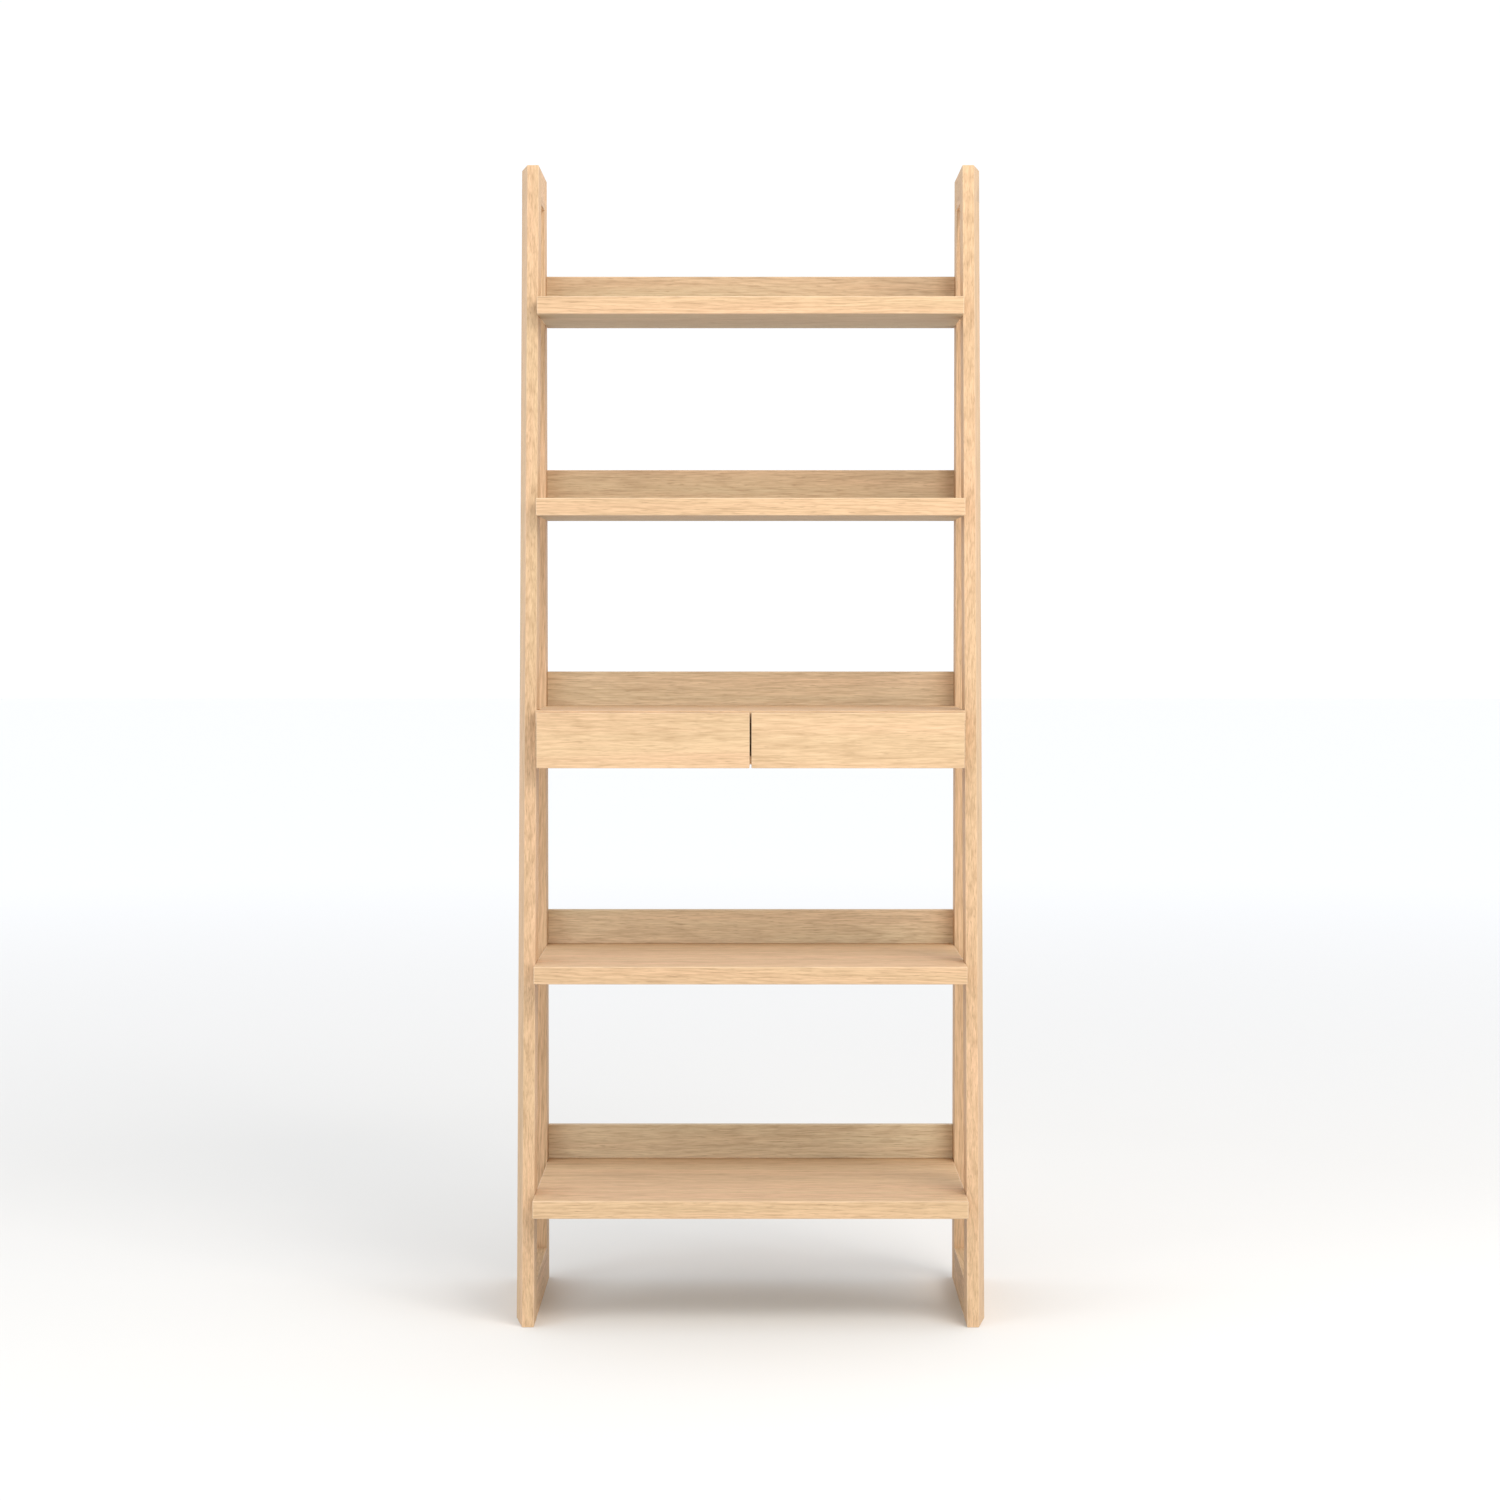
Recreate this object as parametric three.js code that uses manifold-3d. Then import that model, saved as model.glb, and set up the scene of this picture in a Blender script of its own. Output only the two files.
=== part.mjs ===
// Ladder shelf in solid oak: two sloping side frames, four open shelves and a case with two drawers.
// Millimetres. +Z is up, +X is to the right seen from the front, and the front looks along -Y.
// The origin lies on the floor, in the middle of the space that the shelf takes up.
import * as THREE from 'three';
import { mergeVertices } from 'three/addons/utils/BufferGeometryUtils.js';
import Module from 'manifold-3d';

const wasm = await Module();
wasm.setup();

// Overall size. The lowest shelf sets the depth.
const WIDTH = 800;
const DEPTH = 430;
const HEIGHT = 1980;

// Side frames: the rear post is upright and the front post leans back from the floor to the top.
const FRAME_THICKNESS = 34;
const FRAME_DEPTH_AT_FLOOR = 400;
const FRAME_DEPTH_AT_TOP = 210;
const FRONT_POST_DEPTH = 70;
const FRONT_POST_FACE = 20;
const REAR_POST_DEPTH = 55;
const TOP_RAIL_HEIGHT = 58;
const BOTTOM_RAIL_HEIGHT = 65;
const TENON = { length: 22, thickness: 12, height: 34 };

// Shelves: top surface above the floor and depth from the wall, lowest first.
const SHELF_THICKNESS = 30;
const SHELVES = [
  { name: 'bottom_shelf', top: 220, depth: 430 },
  { name: 'lower_shelf', top: 610, depth: 390 },
  { name: 'upper_shelf', top: 1402, depth: 310 },
  { name: 'top_shelf', top: 1748, depth: 270 },
];
const UPSTAND_HEIGHT = 61;
const UPSTAND_THICKNESS = 16;

// Drawer case: the middle level of the ladder.
const CASE_TOP = 1040;
const CASE_DEPTH = 329;
const CASE_TOP_BOARD = 20;
const CASE_BOTTOM_BOARD = 15;
const CASE_BOTTOM = 947;
const CASE_WALL = 16;
const FINGER_SPACE = 30;

// Drawers: overlay fronts with no handles, and boxes hung on wooden runners.
const FRONT_THICKNESS = 20;
const FRONT_BOTTOM = 943;
const FRONT_TOP = 1037;
const FRONT_END_REVEAL = 3;
const FRONT_MIDDLE_GAP = 3;
const FRONT_TO_CASE = 1;
const FINGER_BEVEL = { depth: 8, height: 12 };
const BOX_SIDE_PLAY = 2;
const BOX_SIDE = { thickness: 13, bottom: 965, top: 1011 };
const BOX_BACK = { thickness: 12, top: 1017 };
const BOX_REAR_DEPTH = 40;
const BOX_BOTTOM = { thickness: 6, underside: 969 };
const BOTTOM_GROOVE = { depth: 5, play: 0.2 };
const RUNNER = { width: 8, height: 9, underside: 986.5, rear: 20, front: 320 };
const RUNNER_GROOVE = { depth: 7, play: 0.5 };
const DRAWER_TRAVEL = 220;
const STOP = { width: 60, depth: 12, height: 7, play: 0.5 };

// Fixings: a hidden dowel in each front post and a socket screw through each rear post.
const DOWEL = { radius: 5, inShelf: 24, inPost: 14, chamfer: 1 };
const SCREW = { headRadius: 6.5, headHeight: 5, shankRadius: 3.5, length: 62, sunk: 1.5, point: 3 };
const SOCKET = { acrossFlats: 5, depth: 3 };
const ROUND_SIDES = 20;
const FIT_GAP = 0.3;

const WALL_Y = DEPTH / 2;
const INNER_X = WIDTH / 2 - FRAME_THICKNESS;
const LEAN = (FRAME_DEPTH_AT_FLOOR - FRAME_DEPTH_AT_TOP) / HEIGHT;

const oak = new THREE.MeshStandardMaterial({ color: 0xe6be8f, roughness: 0.6, metalness: 0 });
const drawerOak = new THREE.MeshStandardMaterial({ color: 0xe9c79c, roughness: 0.65, metalness: 0 });
const birchPly = new THREE.MeshStandardMaterial({ color: 0xe5cfa8, roughness: 0.7, metalness: 0 });
const beech = new THREE.MeshStandardMaterial({ color: 0xd9b184, roughness: 0.7, metalness: 0 });
const steel = new THREE.MeshStandardMaterial({ color: 0x9a9da1, roughness: 0.35, metalness: 1 });

// Depths are measured from the wall towards the front.
function yAtDepth(depth) {
  return WALL_Y - depth;
}

function frameDepthAt(z) {
  return FRAME_DEPTH_AT_FLOOR - LEAN * z;
}

// Box between two X values, two depths from the wall and two heights.
function block([x0, x1], [rear, front], [z0, z1]) {
  const geometry = new THREE.BoxGeometry(Math.abs(x1 - x0), front - rear, z1 - z0);
  geometry.translate((x0 + x1) / 2, yAtDepth((front + rear) / 2), (z0 + z1) / 2);
  return geometry;
}

// Outline of [depth, z] points, extruded in X from x0 to x1.
function prismAlongX(outline, [x0, x1]) {
  const shape = new THREE.Shape(outline.map(([depth, z]) => new THREE.Vector2(yAtDepth(depth), z)));
  const geometry = new THREE.ExtrudeGeometry(shape, { depth: Math.abs(x1 - x0), bevelEnabled: false });
  const yToX = new THREE.Matrix4().makeBasis(
    new THREE.Vector3(0, 1, 0),
    new THREE.Vector3(0, 0, 1),
    new THREE.Vector3(1, 0, 0),
  );
  geometry.applyMatrix4(yToX);
  geometry.translate(Math.min(x0, x1), 0, 0);
  return geometry;
}

// Outline of [x, z] points, extruded from the rear depth to the front depth.
function prismAlongDepth(outline, [rear, front]) {
  const shape = new THREE.Shape(outline.map(([x, z]) => new THREE.Vector2(x, z)));
  const geometry = new THREE.ExtrudeGeometry(shape, { depth: front - rear, bevelEnabled: false });
  geometry.rotateX(Math.PI / 2);
  geometry.translate(0, yAtDepth(rear), 0);
  return geometry;
}

function toSolid(geometry) {
  const bare = geometry.clone();
  bare.deleteAttribute('normal');
  bare.deleteAttribute('uv');
  const merged = mergeVertices(bare);
  return new wasm.Manifold(new wasm.Mesh({
    numProp: 3,
    vertProperties: merged.attributes.position.array,
    triVerts: Uint32Array.from(merged.index.array),
  }));
}

function toGeometry(solid) {
  const { vertProperties, triVerts } = solid.getMesh();
  const geometry = new THREE.BufferGeometry();
  geometry.setAttribute('position', new THREE.BufferAttribute(vertProperties, 3));
  geometry.setIndex(new THREE.BufferAttribute(triVerts, 1));
  geometry.computeVertexNormals();
  return geometry;
}

function join(first, ...others) {
  return toGeometry(others.reduce((solid, other) => solid.add(toSolid(other)), toSolid(first)));
}

function cut(body, cutters) {
  return toGeometry(cutters.reduce((solid, cutter) => solid.subtract(toSolid(cutter)), toSolid(body)));
}

function addPiece(group, name, geometry, material) {
  const mesh = new THREE.Mesh(geometry, material);
  mesh.name = name;
  group.add(mesh);
}

// Turned piece on the X axis: points are [radius, distance], from x0 towards the shelf's middle.
// side is -1 on the left and 1 on the right.
function turnedAlongX(points, x0, side) {
  const profile = points.map(([radius, distance]) => new THREE.Vector2(radius, distance));
  const geometry = new THREE.LatheGeometry(profile, ROUND_SIDES);
  geometry.rotateZ(side > 0 ? Math.PI / 2 : -Math.PI / 2);
  geometry.translate(x0, 0, 0);
  return geometry;
}

function roundBar(radius, xOuter, length, side) {
  return turnedAlongX([[0, 0], [radius, 0], [radius, length], [0, length]], xOuter, side);
}

// Where the dowels and the screws sit: one of each at both ends of every level.
const LEVELS = [
  ...SHELVES.map(({ name, top }) => ({ name, z: top - SHELF_THICKNESS / 2 })),
  { name: 'drawer_case', z: CASE_TOP - CASE_TOP_BOARD / 2 },
];

function dowelPlace(z) {
  return new THREE.Vector3(0, yAtDepth(frameDepthAt(z) - FRONT_POST_DEPTH / 2), z);
}

function screwPlace(z) {
  return new THREE.Vector3(0, yAtDepth(REAR_POST_DEPTH / 2), z);
}

function dowelHole(z, side) {
  const radius = DOWEL.radius + FIT_GAP;
  const length = DOWEL.inShelf + DOWEL.inPost + 2 * FIT_GAP;
  const hole = roundBar(radius, side * (INNER_X + DOWEL.inPost + FIT_GAP), length, side);
  return hole.translate(...dowelPlace(z).toArray());
}

// Clearance hole and counterbore, from outside the frame to the screw's point.
function screwHole(z, side) {
  const head = SCREW.headRadius + FIT_GAP;
  const shank = SCREW.shankRadius + FIT_GAP;
  const seat = SCREW.sunk + SCREW.headHeight + FIT_GAP;
  const end = SCREW.sunk + SCREW.length + FIT_GAP;
  const outside = -1;
  const points = [[0, outside], [head, outside], [head, seat], [shank, seat], [shank, end], [0, end]];
  const hole = turnedAlongX(points, side * WIDTH / 2, side);
  return hole.translate(...screwPlace(z).toArray());
}

// Side frame: two posts and two rails, joined by blind tenons.
function railTenon(side, z, depthRange) {
  const middleX = side * (INNER_X + FRAME_THICKNESS / 2);
  const halfThickness = TENON.thickness / 2;
  const x = [middleX - halfThickness, middleX + halfThickness];
  return block(x, depthRange, [z - TENON.height / 2, z + TENON.height / 2]);
}

function railMortise(side, z, depthRange) {
  const middleX = side * (INNER_X + FRAME_THICKNESS / 2);
  const halfThickness = TENON.thickness / 2 + FIT_GAP;
  const halfHeight = TENON.height / 2 + FIT_GAP;
  const [rear, front] = depthRange;
  const x = [middleX - halfThickness, middleX + halfThickness];
  return block(x, [rear - FIT_GAP, front + FIT_GAP], [z - halfHeight, z + halfHeight]);
}

function sideFrame(label, side) {
  const frame = new THREE.Group();
  const innerX = side * INNER_X;
  const outerX = side * WIDTH / 2;
  const frontFaceX = side * (INNER_X + FRONT_POST_FACE);
  const rails = [
    { name: 'bottom_rail', low: 0, high: BOTTOM_RAIL_HEIGHT },
    { name: 'top_rail', low: HEIGHT - TOP_RAIL_HEIGHT, high: HEIGHT },
  ];
  const tenons = rails.map(({ low, high }) => {
    const z = (low + high) / 2;
    const postRear = frameDepthAt(z) - FRONT_POST_DEPTH;
    return { z, depths: [REAR_POST_DEPTH - TENON.length, postRear + TENON.length] };
  });
  const mortises = tenons.map(({ z, depths }) => railMortise(side, z, depths));

  // The front post's section narrows towards the front, where its outer face is bevelled.
  const section = new THREE.Shape([
    new THREE.Vector2(innerX, 0),
    new THREE.Vector2(frontFaceX, 0),
    new THREE.Vector2(outerX, FRONT_POST_DEPTH),
    new THREE.Vector2(innerX, FRONT_POST_DEPTH),
  ]);
  const frontPost = new THREE.ExtrudeGeometry(section, { depth: HEIGHT, bevelEnabled: false });
  const lean = new THREE.Matrix4().set(1, 0, 0, 0, 0, 1, LEAN, 0, 0, 0, 1, 0, 0, 0, 0, 1);
  frontPost.applyMatrix4(lean);
  frontPost.translate(0, yAtDepth(FRAME_DEPTH_AT_FLOOR), 0);
  const dowelHoles = LEVELS.map(({ z }) => dowelHole(z, side));
  addPiece(frame, `${label}_front_post`, cut(frontPost, [...mortises, ...dowelHoles]), oak);

  const rearPost = block([innerX, outerX], [0, REAR_POST_DEPTH], [0, HEIGHT]);
  const screwHoles = LEVELS.map(({ z }) => screwHole(z, side));
  addPiece(frame, `${label}_rear_post`, cut(rearPost, [...mortises, ...screwHoles]), oak);

  rails.forEach(({ name, low, high }, i) => {
    const frontAt = (z) => frameDepthAt(z) - FRONT_POST_DEPTH - FIT_GAP;
    const outline = [
      [REAR_POST_DEPTH, low], [frontAt(low), low],
      [frontAt(high), high], [REAR_POST_DEPTH, high],
    ];
    const rail = prismAlongX(outline, [innerX, outerX]);
    const tenon = railTenon(side, tenons[i].z, tenons[i].depths);
    addPiece(frame, `${label}_${name}`, join(rail, tenon), oak);
  });
  return frame;
}

// Open shelves: a board between the frames, with an upstand along its rear edge.
function openShelves() {
  const shelves = new THREE.Group();
  const across = [-INNER_X, INNER_X];
  SHELVES.forEach(({ name, top, depth }) => {
    const z = top - SHELF_THICKNESS / 2;
    const board = block(across, [0, depth], [top - SHELF_THICKNESS, top]);
    const holes = [-1, 1].flatMap((side) => [dowelHole(z, side), screwHole(z, side)]);
    addPiece(shelves, name, cut(board, holes), oak);
    const upstand = block(across, [0, UPSTAND_THICKNESS], [top, top + UPSTAND_HEIGHT]);
    addPiece(shelves, `${name}_upstand`, upstand, oak);
  });
  return shelves;
}

// Drawer case: top, bottom, two cheeks, a divider and a back that rises into the upstand.
function drawerCase() {
  const drawers = new THREE.Group();
  const across = [-INNER_X, INNER_X];
  const topUnderside = CASE_TOP - CASE_TOP_BOARD;
  const bottomUpper = CASE_BOTTOM + CASE_BOTTOM_BOARD;
  const z = CASE_TOP - CASE_TOP_BOARD / 2;
  const holes = [-1, 1].flatMap((side) => [dowelHole(z, side), screwHole(z, side)]);
  const back = block(across, [0, UPSTAND_THICKNESS], [CASE_BOTTOM, CASE_TOP + UPSTAND_HEIGHT]);
  const top = block(across, [UPSTAND_THICKNESS, CASE_DEPTH], [topUnderside, CASE_TOP]);
  const bottomFront = CASE_DEPTH - FINGER_SPACE;
  const bottom = block(across, [UPSTAND_THICKNESS, bottomFront], [CASE_BOTTOM, bottomUpper]);
  addPiece(drawers, 'drawer_case_back', cut(back, holes), oak);
  addPiece(drawers, 'drawer_case_top', cut(top, holes), oak);
  addPiece(drawers, 'drawer_case_bottom', bottom, oak);

  const walls = [
    { name: 'left_cheek', x: [-INNER_X, -INNER_X + CASE_WALL] },
    { name: 'divider', x: [-CASE_WALL / 2, CASE_WALL / 2] },
    { name: 'right_cheek', x: [INNER_X - CASE_WALL, INNER_X] },
  ];
  walls.forEach(({ name, x }) => {
    const wall = block(x, [UPSTAND_THICKNESS, CASE_DEPTH], [bottomUpper, topUnderside]);
    addPiece(drawers, `drawer_case_${name}`, wall, oak);
  });

  // Each drawer hangs on an outer and an inner runner, and a block under the top stops it.
  [['left', -1], ['right', 1]].forEach(([label, side]) => {
    const bay = [CASE_WALL / 2, INNER_X - CASE_WALL];
    const runnerZ = [RUNNER.underside, RUNNER.underside + RUNNER.height];
    const inner = [side * bay[0], side * (bay[0] + RUNNER.width)];
    const outer = [side * (bay[1] - RUNNER.width), side * bay[1]];
    const length = [RUNNER.rear, RUNNER.front];
    addPiece(drawers, `${label}_drawer_inner_runner`, block(inner, length, runnerZ), beech);
    addPiece(drawers, `${label}_drawer_outer_runner`, block(outer, length, runnerZ), beech);
    const stopRear = BOX_REAR_DEPTH + BOX_BACK.thickness + DRAWER_TRAVEL + STOP.play;
    const middle = side * (bay[0] + bay[1]) / 2;
    const stopX = [middle - STOP.width / 2, middle + STOP.width / 2];
    const stopZ = [topUnderside - STOP.height, topUnderside];
    addPiece(drawers, `${label}_drawer_stop`, block(stopX, [stopRear, stopRear + STOP.depth], stopZ), beech);
  });
  return drawers;
}

// Section of a drawer side: a runner groove outside and a groove for the bottom inside.
function boxSideSection(outerX, inward) {
  const { thickness, bottom, top } = BOX_SIDE;
  const innerX = outerX + inward * thickness;
  const runnerX = outerX + inward * RUNNER_GROOVE.depth;
  const grooveX = innerX - inward * BOTTOM_GROOVE.depth;
  const runnerLow = RUNNER.underside - RUNNER_GROOVE.play;
  const runnerHigh = RUNNER.underside + RUNNER.height + RUNNER_GROOVE.play;
  const panelLow = BOX_BOTTOM.underside - BOTTOM_GROOVE.play;
  const panelHigh = BOX_BOTTOM.underside + BOX_BOTTOM.thickness + BOTTOM_GROOVE.play;
  return [
    [outerX, bottom], [innerX, bottom],
    [innerX, panelLow], [grooveX, panelLow], [grooveX, panelHigh], [innerX, panelHigh],
    [innerX, top], [outerX, top],
    [outerX, runnerHigh], [runnerX, runnerHigh], [runnerX, runnerLow], [outerX, runnerLow],
  ];
}

function drawer(label, side) {
  const box = new THREE.Group();
  const frontRear = CASE_DEPTH + FRONT_TO_CASE;
  const frontFace = frontRear + FRONT_THICKNESS;
  const innerEnd = side * (CASE_WALL / 2 + BOX_SIDE_PLAY);
  const outerEnd = side * (INNER_X - CASE_WALL - BOX_SIDE_PLAY);
  const innerWall = innerEnd + side * BOX_SIDE.thickness;
  const outerWall = outerEnd - side * BOX_SIDE.thickness;

  // The bottom slides into its grooves from the rear, under the back.
  const intoGroove = BOTTOM_GROOVE.depth - FIT_GAP;
  const panelX = [innerWall - side * intoGroove, outerWall + side * intoGroove];
  const panelTop = BOX_BOTTOM.underside + BOX_BOTTOM.thickness;
  const panelDepths = [BOX_REAR_DEPTH, frontRear + intoGroove];
  const panel = block(panelX, panelDepths, [BOX_BOTTOM.underside, panelTop]);
  addPiece(box, `${label}_drawer_bottom`, panel, birchPly);

  // The front has a bevel behind its lower edge for the fingers.
  const frontX = [side * FRONT_MIDDLE_GAP / 2, side * (INNER_X - FRONT_END_REVEAL)];
  const outline = [
    [frontFace, FRONT_BOTTOM], [frontFace, FRONT_TOP], [frontRear, FRONT_TOP],
    [frontRear, FRONT_BOTTOM + FINGER_BEVEL.height], [frontRear + FINGER_BEVEL.depth, FRONT_BOTTOM],
  ];
  const grooveX = [panelX[0] - side * FIT_GAP, panelX[1] + side * FIT_GAP];
  const grooveDepths = [CASE_DEPTH, frontRear + BOTTOM_GROOVE.depth];
  const grooveZ = [BOX_BOTTOM.underside - BOTTOM_GROOVE.play, panelTop + BOTTOM_GROOVE.play];
  const front = cut(prismAlongX(outline, frontX), [block(grooveX, grooveDepths, grooveZ)]);
  addPiece(box, `${label}_drawer_front`, front, oak);

  const length = [BOX_REAR_DEPTH, frontRear];
  const innerSide = prismAlongDepth(boxSideSection(innerEnd, side), length);
  const outerSide = prismAlongDepth(boxSideSection(outerEnd, -side), length);
  addPiece(box, `${label}_drawer_inner_side`, innerSide, drawerOak);
  addPiece(box, `${label}_drawer_outer_side`, outerSide, drawerOak);

  const backDepths = [BOX_REAR_DEPTH, BOX_REAR_DEPTH + BOX_BACK.thickness];
  const back = block([innerWall, outerWall], backDepths, [panelTop + FIT_GAP, BOX_BACK.top]);
  addPiece(box, `${label}_drawer_back`, back, drawerOak);
  return box;
}

// Fixings at the two ends of every level.
function fixings() {
  const group = new THREE.Group();
  const { radius, inShelf, inPost, chamfer } = DOWEL;
  const length = inShelf + inPost;
  const dowelProfile = [
    [0, 0], [radius - chamfer, 0], [radius, chamfer],
    [radius, length - chamfer], [radius - chamfer, length], [0, length],
  ];
  const screwProfile = [
    [0, 0], [SCREW.headRadius, 0], [SCREW.headRadius, SCREW.headHeight],
    [SCREW.shankRadius, SCREW.headHeight], [SCREW.shankRadius, SCREW.length - SCREW.point],
    [0, SCREW.length],
  ];
  const socketRadius = SOCKET.acrossFlats / Math.sqrt(3);
  [['left', -1], ['right', 1]].forEach(([label, side]) => {
    LEVELS.forEach(({ name, z }) => {
      const dowel = turnedAlongX(dowelProfile, side * (INNER_X + inPost), side);
      dowel.translate(...dowelPlace(z).toArray());
      addPiece(group, `${name}_${label}_dowel`, dowel, beech);

      const screw = turnedAlongX(screwProfile, side * (WIDTH / 2 - SCREW.sunk), side);
      const socket = new THREE.CylinderGeometry(socketRadius, socketRadius, 2 * SOCKET.depth, 6);
      socket.rotateZ(Math.PI / 2);
      socket.translate(side * (WIDTH / 2 - SCREW.sunk), 0, 0);
      const screwPiece = cut(screw, [socket]);
      screwPiece.translate(...screwPlace(z).toArray());
      addPiece(group, `${name}_${label}_screw`, screwPiece, steel);
    });
  });
  return group;
}

const group = new THREE.Group();
group.add(sideFrame('left', -1), sideFrame('right', 1));
group.add(openShelves());
group.add(drawerCase());
group.add(drawer('left', -1), drawer('right', 1));
group.add(fixings());

export default group;
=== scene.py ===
import math
import random

import bmesh
import bpy
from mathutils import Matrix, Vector


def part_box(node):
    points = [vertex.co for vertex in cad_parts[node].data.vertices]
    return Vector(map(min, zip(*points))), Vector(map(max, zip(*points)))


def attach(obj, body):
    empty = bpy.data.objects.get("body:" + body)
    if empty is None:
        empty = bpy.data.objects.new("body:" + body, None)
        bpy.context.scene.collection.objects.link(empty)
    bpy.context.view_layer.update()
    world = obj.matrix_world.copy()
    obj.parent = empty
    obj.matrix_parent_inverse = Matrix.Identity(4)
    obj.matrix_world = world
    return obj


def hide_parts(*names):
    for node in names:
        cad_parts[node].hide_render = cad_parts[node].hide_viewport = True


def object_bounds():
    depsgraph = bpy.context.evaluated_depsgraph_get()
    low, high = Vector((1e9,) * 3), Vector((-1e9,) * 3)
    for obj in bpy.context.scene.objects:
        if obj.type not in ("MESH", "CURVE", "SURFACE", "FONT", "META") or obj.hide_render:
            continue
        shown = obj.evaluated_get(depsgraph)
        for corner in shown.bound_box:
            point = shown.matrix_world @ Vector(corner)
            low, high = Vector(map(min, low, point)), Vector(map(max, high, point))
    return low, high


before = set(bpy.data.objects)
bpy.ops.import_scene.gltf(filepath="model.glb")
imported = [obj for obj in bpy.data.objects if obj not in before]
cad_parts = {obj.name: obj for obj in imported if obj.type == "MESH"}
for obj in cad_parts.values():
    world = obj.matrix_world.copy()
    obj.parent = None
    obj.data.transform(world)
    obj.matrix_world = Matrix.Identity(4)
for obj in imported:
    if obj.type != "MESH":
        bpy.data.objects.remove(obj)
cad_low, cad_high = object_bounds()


# Camera: straight in front at chest height, over five metres away and looking two degrees
# down. The long lens at that distance keeps the posts upright and the shelves nearly edge on.
camera_data = bpy.data.cameras.new("camera")
camera_data.sensor_width = 36.0
camera_data.lens = 74.4
camera_data.shift_y = -0.0168
camera = bpy.data.objects.new("camera", camera_data)
bpy.context.scene.collection.objects.link(camera)
camera.location = (0.004, cad_high.y - 5.597, 1.200)
camera.rotation_euler = (math.radians(90 - 2.0), 0, math.radians(0.053))
bpy.context.scene.camera = camera


# Studio: a white paper floor under even white light. A large warm lamp hangs in front, up and to
# the right, closest to the upper shelves; two weaker cool ones open up the shade from the sides.
def linear(colour):
    parts = [int(colour[i:i + 2], 16) / 255 for i in (1, 3, 5)]
    return [p / 12.92 if p <= 0.04045 else ((p + 0.055) / 1.055) ** 2.4 for p in parts] + [1.0]


def add_node(tree, kind, inputs=None, **settings):
    # An input takes a value, a socket, or a node, which stands for its first output in use.
    # Inputs are called by name or, where names repeat, by number: a Mix has its share in 0 and
    # its two colours in 6 and 7.
    node = tree.nodes.new("ShaderNode" + kind)
    for name, value in settings.items():
        setattr(node, name, value)
    for socket, value in (inputs or {}).items():
        if isinstance(value, bpy.types.Node):
            value = next(output for output in value.outputs if output.enabled)
        if isinstance(value, bpy.types.NodeSocket):
            tree.links.new(value, node.inputs[socket])
        else:
            node.inputs[socket].default_value = value
    return node


def new_material(name):
    material = bpy.data.materials.new(name)
    material.use_nodes = True
    material.node_tree.nodes.clear()
    return material, material.node_tree


def paper_white(name):
    # Matt white without a pattern. It gets whiter from 2 to 9 m out, so that the floor runs
    # into the white of the studio and shows no far edge.
    material, tree = new_material(name)
    place = add_node(tree, "TexCoord").outputs["Object"]
    away = add_node(tree, "VectorMath", {0: place}, operation="LENGTH")
    spread = add_node(tree, "MapRange", {"Value": away, "From Min": 2.0, "From Max": 9.0})
    white = add_node(tree, "Mix", {
        0: spread, 6: linear("#e6e4e1"), 7: linear("#fbfbfb"),
    }, data_type="RGBA")
    paper = add_node(tree, "BsdfPrincipled", {"Base Color": white, "Roughness": 0.9})
    add_node(tree, "OutputMaterial", {"Surface": paper})
    return material


floor_reach = 40.0
floor_corners = [(x * floor_reach, y * floor_reach, 0) for x, y in ((-1, -1), (1, -1), (1, 1), (-1, 1))]
floor_mesh = bpy.data.meshes.new("floor")
floor_mesh.from_pydata(floor_corners, [], [(0, 1, 2, 3)])
floor_mesh.materials.append(paper_white("matt_white_paper"))
floor = bpy.data.objects.new("floor", floor_mesh)
bpy.context.scene.collection.objects.link(floor)

world = bpy.data.worlds.new("studio")
world.use_nodes = True
world.node_tree.nodes.clear()
sky = add_node(world.node_tree, "Background", {"Color": linear("#fafcff"), "Strength": 1.06})
add_node(world.node_tree, "OutputWorld", {"Surface": sky})
bpy.context.scene.world = world
bpy.context.scene.view_settings.view_transform = "Standard"

lamp_size = 1.8
aim = Vector((0, 0, 1.1))
for name, watts, colour, place in (
    ("soft_key", 66, (1.0, 0.92, 0.84), (1.6, -2.5, 3.6)),
    ("left_fill", 22, (0.84, 1.0, 1.06), (-3.3, -2.6, 2.5)),
    ("right_fill", 26, (0.88, 1.0, 1.06), (3.3, -2.6, 2.5)),
):
    lamp_data = bpy.data.lights.new(name, "AREA")
    lamp_data.shape = "SQUARE"
    lamp_data.size = lamp_size
    lamp_data.energy = watts
    lamp_data.color = colour
    lamp = bpy.data.objects.new(name, lamp_data)
    bpy.context.scene.collection.objects.link(lamp)
    lamp.location = place
    lamp.rotation_euler = (aim - lamp.location).to_track_quat("-Z", "Y").to_euler()


# Rear posts: square-cut oak, 34 by 55 mm, upright against the wall from the floor to the top.
# European white oak, planed, sanded and oiled matt. Each post is bored and counterbored from
# outside for one socket screw at every level.
def patches(tree, place, sizes, detail):
    # Soft patches of the sizes given in mm: along, across and through the board.
    scale = [1000 / size for size in sizes]
    scaled = add_node(tree, "VectorMath", {0: place, 1: scale}, operation="MULTIPLY")
    return add_node(tree, "TexNoise", {
        "Vector": scaled, "Scale": 1.0, "Detail": detail, "Roughness": 0.55,
    })


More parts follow.
